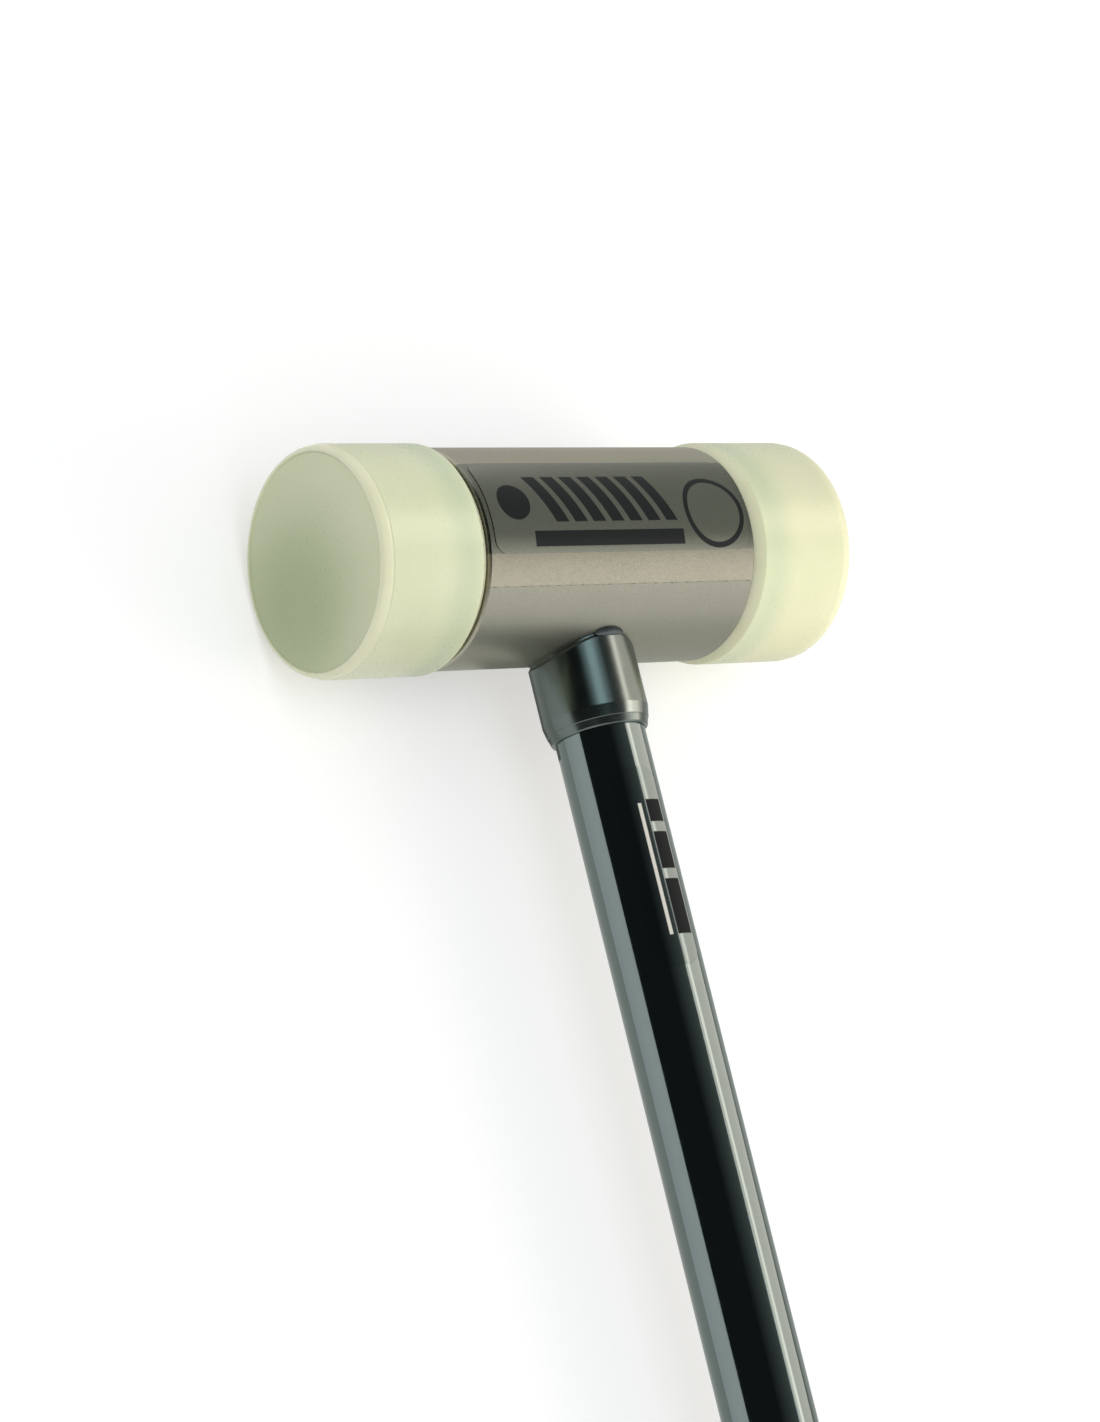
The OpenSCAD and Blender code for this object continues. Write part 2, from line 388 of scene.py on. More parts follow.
def mottled(name, noise, dark, light, rough, bumps, constants):
    """A plain material whose colour, roughness and bumps all follow one noise."""
    material, tree, place = begin(name)
    skin = add(tree, "TexNoise", {"Vector": place, **noise})
    tone = add(tree, "Mix", {"Factor": skin, MIX_A: dark, MIX_B: light}, MIX_OUT, data_type="RGBA")
    inputs = {"Base Color": tone, "Roughness": add(tree, "MapRange", (skin, *rough)), **constants}
    if bumps:
        inputs["Normal"] = add(tree, "Bump", {"Height": skin, "Strength": bumps, "Distance": 0.02 * MM})
    return surface(material, inputs)


def cast_nylon(colours, sizes):
    """Natural cast nylon, turned on a lathe: waxy, slightly see-through, with faint rings from the tool."""
    material, tree, place = begin("cast_nylon")
    x, y, z = add(tree, "SeparateXYZ", (place,)).node.outputs
    out = add(tree, "Math", (x,), operation="ABSOLUTE")
    radius = distance(tree, y, z, (0, 0))
    face_end, tube_end = FACE_END / MM, TUBE_END / MM
    bead_start, bead_inside, groove_inside = face_end - sizes.bead_length / MM, 16.4, 16.12
    # The tool leaves rings about 0.3 mm apart, on the front by radius and on the side by length
    ring_place = add(tree, "CombineXYZ", (x, radius, 0.0))
    rings = add(tree, "TexNoise", {"Vector": ring_place, "Scale": 1.6, "Detail": 3.0, "Roughness": 0.65})
    cloud = add(tree, "TexNoise", {"Vector": place, "Scale": 0.09, "Detail": 3.0})
    grain = add(tree, "TexNoise", {"Vector": place, "Scale": 2.2, "Detail": 2.0})
    tone = add(tree, "Mix", {
        "Factor": cloud, MIX_A: toned(colours.nylon, 0.93, 0.95, 0.88),
        MIX_B: toned(colours.nylon, 1.06, 1.04, 1.08)}, MIX_OUT, data_type="RGBA")
    # Painted shade: less light comes back out of thicker nylon, so the front is painted deeper and greener
    # towards a point a little off its middle
    front = add(tree, "MapRange", (out, face_end - 0.9, face_end - 0.5))
    deep_centre, deep_edge, deep_core, deepest = (-4.5, -6.0), 23.0, 3.0, 0.95
    away = distance(tree, y, z, deep_centre)
    limits = away, deep_edge, deep_core, 0.0, deepest
    middle = add(tree, "MapRange", limits, interpolation_type="SMOOTHSTEP")
    thick_shade = add(tree, "Math", (front, middle), operation="MULTIPLY")
    # Painted shade: the end next to the tube is painted greener and darker too
    green = between(tree, out, tube_end + 1.9, tube_end + 6.5, 2.6)
    green = add(tree, "Math", (green, 0.42), operation="MULTIPLY")
    # Painted light: the thin edges, the bead and the chamfer next to the tube, are painted lighter where
    # light shines through them; they are also worn smooth
    bead = add(tree, "Math", (
        between(tree, out, bead_start, face_end + 1, 0.1),
        between(tree, radius, bead_inside, FACE_R / MM + 2.5)), operation="MULTIPLY")
    chamfer = between(tree, out, tube_end - 1, tube_end + 1.6, 0.15)
    thin = add(tree, "Math", (bead, chamfer), operation="MAXIMUM")
    # Painted shade: the groove inside the bead is painted darker, more so where the groove looks up from the
    # table
    groove = between(tree, radius, groove_inside, bead_inside, 0.12)
    groove_shade = add(tree, "Math", (groove, front), operation="MULTIPLY")
    upper_side = add(tree, "MapRange", (z, -8.0, 6.0, 0.0, 0.4))
    groove_shade = add(tree, "Math", (groove_shade, upper_side), operation="MULTIPLY")
    # Painted shade and painted light: the deeper front, the greener end and the darker groove are painted
    # shade, and the lighter thin edges are painted light
    for mask, colour in (
            (thick_shade, colours.nylon_shade), (green, linear("#B9CFB2")),
            (thin, colours.nylon_edge), (groove_shade, linear("#A9AE90"))):
        tone = add(tree, "Mix", {"Factor": mask, MIX_A: tone, MIX_B: list(colour)}, MIX_OUT, data_type="RGBA")
    shade = add(tree, "MapRange", (grain, 0.3, 0.7, 0.26, 0.38))
    shade = add(tree, "Math", (thin, -0.1, shade), operation="MULTIPLY_ADD")
    height = add(tree, "Math", (rings, 0.6, grain), operation="MULTIPLY_ADD")
    bump = add(tree, "Bump", {"Height": height, "Strength": 0.1, "Distance": 0.02 * MM})
    return surface(material, {
        "Base Color": tone, "Roughness": shade, "Normal": bump, "IOR": 1.53, "Subsurface Weight": 0.6,
        "Subsurface Radius": (1.0, 0.95, 0.7), "Subsurface Scale": 2 * MM})


def satin_nickel(colours):
    """Nickel plate on a seam-welded tube, satin polished round: soft grey reflections and one fine seam."""
    material, tree, place = begin("satin_nickel")
    x, arc = head_place(tree, place)
    seam_arc, band_low, band_high = (math.radians(angle) * TUBE_R / MM for angle in (-34.2, -17.4, 37.4))
    # Polishing lines run round the tube, about 0.2 mm apart
    slow = add(tree, "Math", (arc, 0.02), operation="MULTIPLY")
    line_place = add(tree, "CombineXYZ", (x, slow, 0.0))
    lines = add(tree, "TexNoise", {"Vector": line_place, "Scale": 3.5, "Detail": 3.0, "Roughness": 0.6})
    # The blasted grain is about 0.25 mm across
    grain = add(tree, "TexNoise", {"Vector": place, "Scale": 4.0, "Detail": 2.0})
    cloud = add(tree, "TexNoise", {"Vector": place, "Scale": 0.07, "Detail": 2.0})
    tone = add(tree, "Mix", {
        "Factor": cloud, MIX_A: toned(colours.nickel, 0.94, 0.95, 0.93),
        MIX_B: toned(colours.nickel, 1.06, 1.05, 1.05)}, MIX_OUT, data_type="RGBA")
    speck = add(tree, "MapRange", (grain, 0.35, 0.65, 0.0, 0.14))
    # The seam lies 34 degrees round from the front, with a few pits along it
    seam = between(tree, arc, seam_arc - 0.07, seam_arc + 0.07, 0.06)
    pit_place = add(tree, "CombineXYZ", (x, 0.0, 0.0))
    pits = add(tree, "TexNoise", {"Vector": pit_place, "Scale": 0.9, "Detail": 2.0})
    pitted = add(tree, "MapRange", (pits, 0.45, 0.7, 0.15, 0.85))
    mark = add(tree, "Math", (seam, pitted), operation="MULTIPLY")
    # Painted reflection: past the seam the tube is painted a slightly darker, greener grey
    past = add(tree, "MapRange", (arc, seam_arc - 0.1, seam_arc + 0.1, 0.3, 0.0))
    # The label lies on a band polished from end to end, so less rough; painted shade: the band is painted in
    # the film's darker tone, also where bare tube shows beside the label
    band = between(tree, arc, band_low, band_high, 0.15)
    for mask, colour in (
            (speck, linear("#6E6E66")), (past, linear("#7E8880")),
            (mark, linear("#4A4840")), (band, colours.film)):
        tone = add(tree, "Mix", {"Factor": mask, MIX_A: tone, MIX_B: list(colour)}, MIX_OUT, data_type="RGBA")
    shade = add(tree, "MapRange", (grain, 0.25, 0.75, 0.34, 0.46))
    shade = add(tree, "Math", (band, -0.12, shade), operation="MULTIPLY_ADD")
    height = add(tree, "Math", (lines, 0.7, grain), operation="MULTIPLY_ADD")
    bump = add(tree, "Bump", {"Height": height, "Strength": 0.3, "Distance": 0.015 * MM})
    return surface(material, {"Base Color": tone, "Roughness": shade, "Normal": bump, **METAL})


def bright_chrome(colours):
    """Chrome plate on a polished tube: a mirror with a trace of polishing haze along its length."""
    return mottled(
        "bright_chrome", {"Scale": 0.35, "Detail": 4.0, "Roughness": 0.6},
        toned(colours.chrome, 0.95), toned(colours.chrome, 1.05),
        (0.35, 0.75, 0.05, 0.12), 0.1, METAL)


def black_nickel(colours, sizes):
    """Black nickel on a turned collar: dark and glossy, with fine rings that spread the highlights."""
    material, tree, place = begin("black_nickel")
    down, arc = handle_place(tree, place, sizes.collar_radius)
    # The rings are about 0.2 mm apart
    slow = add(tree, "Math", (arc, 0.02), operation="MULTIPLY")
    ring_place = add(tree, "CombineXYZ", (down, slow, 0.0))
    rings = add(tree, "TexNoise", {"Vector": ring_place, "Scale": 4.0, "Detail": 2.0})
    cloud = add(tree, "TexNoise", {"Vector": place, "Scale": 0.3, "Detail": 3.0})
    tone = add(tree, "Mix", {
        "Factor": cloud, MIX_A: toned(colours.black_nickel, 0.88),
        MIX_B: toned(colours.black_nickel, 1.1)}, MIX_OUT, data_type="RGBA")
    shade = add(tree, "MapRange", (cloud, 0.3, 0.7, 0.22, 0.27))
    bump = add(tree, "Bump", {"Height": rings, "Strength": 0.06, "Distance": 0.01 * MM})
    around = add(tree, "Tangent", direction_type="RADIAL", axis="Y")
    return surface(material, {
        "Base Color": tone, "Roughness": shade, "Normal": bump, **METAL,
        "Anisotropic": 0.3, "Anisotropic Rotation": 0.25, "Tangent": around})


def plated_weld():
    """A weld bead under the plating: dark metal, uneven, with a grainy skin."""
    return mottled(
        "plated_weld", {"Scale": 2.5, "Detail": 3.0}, linear("#5E6364"), linear("#7A8081"),
        (0.3, 0.7, 0.42, 0.55), 0.06, METAL)


def moulded_rubber(colours):
    """Moulded black rubber: matt, with a fine spark-eroded grain and a dusty bloom in patches."""
    material, tree, place = begin("moulded_rubber")
    grain = add(tree, "TexNoise", {"Vector": place, "Scale": 3.0, "Detail": 3.0, "Roughness": 0.7})
    bloom = add(tree, "TexNoise", {"Vector": place, "Scale": 0.12, "Detail": 4.0})
    tone = add(tree, "Mix", {
        "Factor": bloom, MIX_A: toned(colours.rubber, 0.8),
        MIX_B: toned(colours.rubber, 1.5)}, MIX_OUT, data_type="RGBA")
    shade = add(tree, "MapRange", (grain, 0.3, 0.7, 0.58, 0.78))
    bump = add(tree, "Bump", {"Height": grain, "Strength": 0.4, "Distance": 0.06 * MM})
    return surface(material, {"Base Color": tone, "Roughness": shade, "Normal": bump, "IOR": 1.52})


def bare_steel():
    """Bare steel inside the head: cut discs and shot, dull grey with small dark spots."""
    return mottled(
        "bare_steel", {"Scale": 0.8, "Detail": 4.0}, linear("#6C6C6A"), linear("#A4A3A0"),
        (0.3, 0.7, 0.32, 0.5), 0, METAL)


def polyethylene():
    """Moulded black polyethylene of the plug in the handle's end: waxy and slightly uneven."""
    return mottled(
        "polyethylene", {"Scale": 0.5, "Detail": 3.0}, linear("#1B1B1C"), linear("#2A2A2B"),
        (0.3, 0.7, 0.38, 0.55), 0, {"IOR": 1.51})


def head_film(colours):
    """Smoke-grey polyester film with dark print: the nickel shows through it, and a gloss lies on top."""
    material, tree, place = begin("printed_film_head")
    x, arc = head_place(tree, place)
    up = add(tree, "Math", (arc, LABEL_TURN * TUBE_R / MM), operation="SUBTRACT")
    # A wide block of slanted stripes, in millimetres as all print is
    stripe_pitch, stripe, stripe_lean = 3.6, (0.1, 2.6), 0.45
    block_ends, block_sides = (-14.4, 9.6), (-3.4, 4.6)
    slant = add(tree, "Math", (up, stripe_lean, x), operation="MULTIPLY_ADD")
    step = add(tree, "Math", (slant, stripe_pitch), operation="FLOORED_MODULO")
    block = patch(tree, slant, block_ends, up, block_sides)
    ink = add(tree, "Math", (between(tree, step, *stripe), block), operation="MULTIPLY")
    # A long bar under them, a plain dot at one end and a plain ring at the other
    bar_ends, bar_sides = (-17.4, 11.9), (-7.1, -4.7)
    dot_centre, dot_radius = (-19.9, 0.0), 3.0
    ring_centre, ring_inside, ring_outside = (18.9, -1.9), 5.0, 5.9
    bar = patch(tree, x, bar_ends, up, bar_sides)
    dot = between(tree, distance(tree, x, up, dot_centre), -1.0, dot_radius)
    ring = between(tree, distance(tree, x, up, ring_centre), ring_inside, ring_outside)
    for mark in (bar, dot, ring):
        ink = add(tree, "Math", (ink, mark), operation="MAXIMUM")
    grain = add(tree, "TexNoise", {"Vector": place, "Scale": 2.4, "Detail": 2.0})
    seen = add(tree, "Mix", {
        "Factor": grain, MIX_A: toned(colours.film, 0.9),
        MIX_B: toned(colours.film, 1.12)}, MIX_OUT, data_type="RGBA")
    tone = add(tree, "Mix", {"Factor": ink, MIX_A: seen, MIX_B: list(colours.ink)}, MIX_OUT, data_type="RGBA")
    metal = add(tree, "MapRange", (ink, 0.0, 1.0, 0.92, 0.0))
    shade = add(tree, "MapRange", (ink, 0.0, 1.0, 0.24, 0.45))
    bump = add(tree, "Bump", {"Height": grain, "Strength": 0.15, "Distance": 0.01 * MM})
    return surface(material, {
        "Base Color": tone, "Metallic": metal, "Roughness": shade, "Normal": bump,
        "Coat Weight": 0.2, "Coat Roughness": 0.08, "Specular IOR Level": 0.3})


def handle_film(colours, sizes):
    """Clear polyester film on the chrome, printed in dark and pale ink: a mirror between plain dark bars."""
    material, tree, place = begin("printed_film_handle")
    down, arc = handle_place(tree, place, sizes.handle_radius)
    # Three dark blocks in a row, and a thin pale line beside them
    block_ends, block_sides = ((41.5, 45.0), (46.6, 52.4), (54.0, 62.6)), (-0.4, 2.5)
    line_ends, line_sides = (42.0, 62.6), (-1.9, -1.3)
    dark, *blocks = (patch(tree, down, ends, arc, block_sides) for ends in block_ends)
    for block in blocks:
        dark = add(tree, "Math", (dark, block), operation="MAXIMUM")
    pale = patch(tree, down, line_ends, arc, line_sides)
    haze = add(tree, "TexNoise", {"Vector": place, "Scale": 0.8, "Detail": 3.0})
    tone = add(tree, "Mix", {
        "Factor": haze, MIX_A: toned(colours.chrome, 0.86),
        MIX_B: toned(colours.chrome, 0.96)}, MIX_OUT, data_type="RGBA")
    for mask, colour in ((dark, colours.ink), (pale, linear("#D8D6CC"))):
        tone = add(tree, "Mix", {"Factor": mask, MIX_A: tone, MIX_B: list(colour)}, MIX_OUT, data_type="RGBA")
    ink = add(tree, "Math", (dark, pale), operation="MAXIMUM")
    metal = add(tree, "MapRange", (ink, 0.0, 1.0, 1.0, 0.0))
    shade = add(tree, "MapRange", (ink, 0.0, 1.0, 0.1, 0.6))
    return surface(material, {
        "Base Color": tone, "Metallic": metal, "Roughness": shade, "Specular IOR Level": 0.12})


# Pieces

class HammerFaces(bpy.types.Operator):
    """Models the two nylon striking faces with their beads, chamfers and spigots"""
    bl_idname = "hammer.faces"
    bl_label = "Nylon faces"

    def execute(self, context):
        sizes = context.scene.hammer_sizes
        material = cast_nylon(context.scene.hammer_colours, sizes)
        shoulder = TUBE_END + SHOULDER_GAP
        lead, lead_edge = 1 * MM, 0.2 * MM
        edge = sizes.nylon_edge
        bead = FACE_END - sizes.bead_length
        groove_start, groove_end = bead - 0.2 * MM, bead - 0.05 * MM
        groove_round, groove_depth = 0.12 * MM, 0.09 * MM
        # A rounded bead runs round the striking surface, with a fine groove behind it
        stations = rounded([
            (SPIGOT_END, CORE, 0),
            (SPIGOT_END, sizes.spigot_radius - lead, lead_edge),
            (SPIGOT_END + lead, sizes.spigot_radius, lead_edge),
            (shoulder, sizes.spigot_radius, 0),
            (shoulder, FACE_R - sizes.rear_depth, edge * 0.7),
            (shoulder + sizes.rear_chamfer, FACE_R, edge),
            (groove_start, FACE_R, groove_round),
            (groove_end, FACE_R - groove_depth, 0),
        ])
        # The bead turns from its side to a little past its crest
        bead_steps, first_angle, step_angle, bead_inset = 11, 5, 9.5, 0.08 * MM
        for step in range(bead_steps):
            angle = math.radians(first_angle + step_angle * step)
            stations.append((
                FACE_END - sizes.bead_length * (1 - math.sin(angle)),
                FACE_R - bead_inset - sizes.bead_width * (1 - math.cos(angle))))
        # Inside the bead the striking surface is turned a hair lower and slightly hollow
        for depth, wide in ((0.25, 16.2), (0.27, 15.9), (0.34, 8.0), (0.36, 0.5)):
            stations.append((FACE_END - depth * MM, wide * MM))
        for name, place in (("right", ALONG_HEAD), ("left", ALONG_HEAD_LEFT)):
            face = turn(name + "_nylon_face", stations, place)
            smooth(face)
            dress(face, material, name + "_face", "nylon", name + "_face")
        return {"FINISHED"}


class HammerHead(bpy.types.Operator):
    """Models the head tube and finishes the discs and the shot inside it"""
    bl_idname = "hammer.head"
    bl_label = "Head tube"

    def execute(self, context):
        sizes = context.scene.hammer_sizes
        edge = TUBE_R - sizes.tube_chamfer
        inner = TUBE_END - sizes.tube_chamfer
        end_round, side_round = 0.1 * MM, 0.2 * MM
        profile = rounded([
            (-TUBE_END, sizes.tube_bore, 0), (-TUBE_END, edge, end_round), (-inner, TUBE_R, side_round),
            (inner, TUBE_R, side_round), (TUBE_END, edge, end_round), (TUBE_END, sizes.tube_bore, 0),
            (-TUBE_END, sizes.tube_bore, 0)], 3)
        tube = turn("head_tube_shell", profile, ALONG_HEAD, 192)
        smooth(tube)
        dress(tube, satin_nickel(context.scene.hammer_colours), "hammer", "head_plating", "head_tube")
        steel = bare_steel()
        for node in ("left_bulkhead", "right_bulkhead", "steel_shot"):
            paint(node, steel)
        return {"FINISHED"}


class HammerCollar(bpy.types.Operator):
    """Models the crimped collar and the weld beads that hold it to the head"""
    bl_idname = "hammer.collar"
    bl_label = "Collar and welds"

    def execute(self, context):
        sizes = context.scene.hammer_sizes
        bore = sizes.handle_radius + GAP
        neck, wide = sizes.collar_neck, sizes.collar_radius
        end = sizes.collar_reach
        cone = end - sizes.crimp_length
        lip = sizes.handle_radius + 0.5 * MM
        neck_end, body_start, step, step_end = (
            TUBE_R + 0.25 * MM, TUBE_R + 0.75 * MM, cone + 1.75 * MM, cone + 1.82 * MM)
        # Neck and body, then the cone of the crimp with a small step in it, and a rolled lip
        profile = rounded([
            (0, bore, 0), (0, neck, 0), (neck_end, neck, 0.1 * MM),
            (body_start, wide, 0.3 * MM), (cone, wide, 0.5 * MM),
            (step, wide - 0.36 * MM, 0.06 * MM), (step_end, wide - 0.44 * MM, 0.06 * MM),
            (end - 0.25 * MM, lip + 0.07 * MM, 0.1 * MM), (end, lip - 0.06 * MM, 0.1 * MM),
            (end, bore, 0), (0, bore, 0)], 4)
        collar = turn("crimped_collar", profile, Matrix.Identity(4))
        self.cope(collar, TUBE_R + 3 * MM)
        put(collar, ALONG_HANDLE)
        drill(collar, TUBE_R + GAP, HEAD_CUT, ALONG_HEAD)
        smooth(collar)
        colours = context.scene.hammer_colours
        dress(collar, black_nickel(colours, sizes), "hammer", "collar_plating", "collar")
        dress(self.beads(sizes), plated_weld(), "hammer", "weld_metal", "collar_welds")
        return {"FINISHED"}

    def cope(self, collar, top):
        """Lowers the upper end of the collar, which is still drawn along Z, on to the curve of the head."""
        edit = bmesh.new()
        edit.from_mesh(collar.data)
        for vertex in edit.verts:
            if vertex.co.z < top:
                vertex.co.z -= TUBE_R - math.sqrt(TUBE_R ** 2 - vertex.co.y ** 2)
        edit.to_mesh(collar.data)
        edit.free()

    def beads(self, sizes):
        """Both beads, each a row of overlapping ripples laid along the joint, larger in the middle."""
        radius, stretch, sunk, voxel = 0.85 * MM, 1.15, 0.1 * MM, 0.09 * MM
        last, step_angle, largest, taper = 3, 5, 1.05, 0.35
        reach = sizes.collar_neck + 0.1 * MM
        ripples = []
        for side in (1, -1):
            for step in range(-last, last + 1):
                bpy.ops.object.select_all(action="DESELECT")
                bpy.ops.mesh.primitive_uv_sphere_add(segments=20, ring_count=12, radius=radius)
                ripple = bpy.context.object
                bpy.ops.object.mode_set(mode="EDIT")
                bpy.ops.mesh.select_all(action="SELECT")
                bpy.ops.transform.resize(value=(stretch, 1, 1), center_override=(0, 0, 0))
                bpy.ops.object.mode_set(mode="OBJECT")
                angle = math.radians(step_angle * step)
                height = reach * math.cos(angle)
                down = math.sqrt(TUBE_R ** 2 - height ** 2)
                swell = largest - taper * (step / last) ** 2
                place = Matrix.Translation((reach * math.sin(angle), -down - sunk, side * height))
                spin = Matrix.Rotation(side * angle, 4, "Y")
                put(ripple, LAID @ place @ spin @ Matrix.Diagonal((swell, swell, swell, 1)))
                ripples.append(ripple)
        pick(ripples[0])
        for ripple in ripples:
            ripple.select_set(True)
        bpy.ops.object.join()
        beads = bpy.context.object
        beads.name = beads.data.name = "weld_beads"
        modify(beads, "REMESH", mode="VOXEL", voxel_size=voxel)
        modify(beads, "SMOOTH", factor=0.5, iterations=30)
        bpy.ops.object.shade_smooth()
        return beads


class HammerHandle(bpy.types.Operator):
    """Models the chromed handle tube and finishes the plug in its end"""
    bl_idname = "hammer.handle"
    bl_label = "Handle tube"

    def execute(self, context):
        sizes = context.scene.hammer_sizes
        stop = sizes.handle_reach - HANDLE_STOP
        outer, bore = sizes.handle_radius, sizes.handle_bore
        tube = turn("handle_tube_shell", [
            (0, bore), (0, outer), (stop, outer), (stop, bore), (0, bore)], ALONG_HANDLE, 160)
        drill(tube, TUBE_R + GAP, HEAD_CUT, ALONG_HEAD)
        smooth(tube)
        dress(tube, bright_chrome(context.scene.hammer_colours), "hammer", "handle_chrome", "handle_tube")
        paint("tube_end_plug", polyethylene())
        return {"FINISHED"}


class HammerGrip(bpy.types.Operator):
    """Models the grooved rubber grip with its front ring, end knob and hanging hole"""
    bl_idname = "hammer.grip"
    bl_label = "Rubber grip"

    def execute(self, context):
        sizes = context.scene.hammer_sizes
        end = sizes.handle_reach
        start = end - sizes.grip_length
        bore = sizes.handle_radius + GAP
        ring, waist, knob = 10.75 * MM, 9.5 * MM, 12.5 * MM
        edge, ring_bend, knob_bend = 2 * MM, 5 * MM, 12 * MM
        ring_end, slope_end = start + 5 * MM, start + 10 * MM
        knob_slope, knob_start = end - 30 * MM, end - 20 * MM
        bore_end, end_flat = end - 12.48 * MM, 5 * MM
        hole_inset, hole_radius, hole_depth = 7 * MM, 3 * MM, 50 * MM
        stations = [(bore_end, CORE), (bore_end, bore), (start, bore)]
        stations += self.round_edge(start, ring, edge, -1)
        stations += rounded([
            (start + edge, ring, 0), (ring_end, ring, ring_bend), (slope_end, waist, ring_bend),
            (slope_end + 3 * MM, waist, 0)])[1:]
        # The grooves are 0.8 mm deep and 3 mm wide, with soft edges
        pitch = (knob_slope - slope_end) / (sizes.groove_count + 1)
        rim_round, wall_round = 0.8 * MM, 1.2 * MM
        outside, rim, wall = 2.2 * MM, 1.5 * MM, 0.7 * MM
        low, lowest = waist - 0.68 * MM, waist - 0.8 * MM
        for groove in range(1, sizes.groove_count + 1):
            middle = slope_end + groove * pitch
            stations += rounded([
                (middle - outside, waist, 0), (middle - rim, waist, rim_round),
                (middle - wall, low, wall_round), (middle, lowest, 0),
                (middle + wall, low, wall_round), (middle + rim, waist, rim_round),
                (middle + outside, waist, 0)], 4)
        stations += rounded([
            (knob_slope - 2 * MM, waist, 0), (knob_slope, waist, knob_bend), (knob_start, knob, knob_bend),
            (end - edge, knob, 0)])[:-1]
        stations += self.round_edge(end, knob, edge, 1)
        stations += [(end, end_flat), (end, CORE)]
        grip = turn("rubber_grip", stations, ALONG_HANDLE)
        hole = LAID @ Matrix.Translation((0, hole_inset - end, 0))
        drill(grip, hole_radius, hole_depth, hole, 96)
        smooth(grip)
        dress(grip, moulded_rubber(context.scene.hammer_colours), "hammer", "grip_rubber", "grip")
        return {"FINISHED"}

    def round_edge(self, end, wide, radius, side):
        """Stations round an outer edge; side is 1 at the far end and -1 at the near end."""
        quarter = [math.radians(15 * step) for step in range(7)]
        points = [
            (end - side * radius * (1 - math.sin(angle)), wide - radius * (1 - math.cos(angle)))
            for angle in quarter]
        return points if side > 0 else points[::-1]


class HammerLabels(bpy.types.Operator):
    """Models the printed films on the head tube and on the handle"""
    bl_idname = "hammer.labels"
    bl_label = "Label films"

    def execute(self, context):
        sizes = context.scene.hammer_sizes
        colours = context.scene.hammer_colours
        length, width = 50 * MM, 15.5 * MM
        place = LAID @ Matrix.Rotation(-LABEL_TURN, 4, "X")
        head = self.film("head_label_film", length, width, TUBE_R, place)
        dress(head, head_film(colours), "hammer", "label_film", "head_label")
        length, width, below_collar = 31 * MM, 7.5 * MM, 7 * MM
        down = sizes.collar_reach + below_collar + length / 2
        place = LAID @ Matrix.Rotation(-LABEL_TURN, 4, "Y") @ Matrix.Translation((0, -down, 0))
        handle = self.film(
            "handle_label_film", length, width, sizes.handle_radius,
            place @ Matrix.Rotation(math.pi / 2, 4, "Z"))
        dress(handle, handle_film(colours, sizes), "hammer", "label_film", "handle_label")
        return {"FINISHED"}

    def film(self, name, length, width, radius, place):
        """A sheet with rounded corners, cut into strips, laid on a tube and given its thickness."""
        strips, corner, thickness = 40, 2 * MM, 0.1 * MM
        bpy.ops.object.select_all(action="DESELECT")
        bpy.ops.mesh.primitive_plane_add(size=1)
        sheet = bpy.context.object
        sheet.name = sheet.data.name = name
        bpy.ops.object.mode_set(mode="EDIT")
        bpy.ops.mesh.select_all(action="SELECT")
        bpy.ops.transform.resize(value=(length, width, 1), center_override=(0, 0, 0))
        bpy.ops.mesh.bevel(offset=corner, segments=8, affect="VERTICES")
        for strip in range(1, strips):
            bpy.ops.mesh.select_all(action="SELECT")
            bpy.ops.mesh.bisect(plane_co=(0, width * (strip / strips - 0.5), 0), plane_no=(0, 1, 0))
        bpy.ops.object.mode_set(mode="OBJECT")
        edit = bmesh.new()
        edit.from_mesh(sheet.data)
        for vertex in edit.verts:
            vertex.co.z = math.sqrt((radius + GAP) ** 2 - vertex.co.y ** 2)
        edit.to_mesh(sheet.data)
        edit.free()
        modify(sheet, "SOLIDIFY", thickness=thickness, offset=1)
        put(sheet, place)
        smooth(sheet, 40)
        return sheet


# Stage

WARM, AMBER, HONEY, GOLD = (1.0, 0.93, 0.82), (1.0, 0.87, 0.72), (1.0, 0.86, 0.68), (1.0, 0.8, 0.62)
ROSE, COOL, SKY = (1.0, 0.84, 0.75), (0.9, 0.97, 1.0), (0.74, 0.94, 1.0)
HEAD_AIM, COLLAR_AIM, HANDLE_AIM = (0, 0.132, 0.02), (0, 0.11, 0.02), (0, 0.047, 0.016)
# The floor lies a hair under the hammer, and glows this much where it is seen; the sky lights the hammer
FLOOR_DROP, FLOOR_RADIUS, FLOOR_GLOW, SKY_LIGHT = 0.0002, 6, 0.38, 0.62
LEFT_FACE, RIGHT_FACE, COLLAR = ("left_nylon_face",), ("right_nylon_face",), ("crimped_collar",)
COLLAR_AND_WELDS = COLLAR + ("weld_beads",)
HANDLE = ("handle_tube_shell", "handle_label_film") + COLLAR

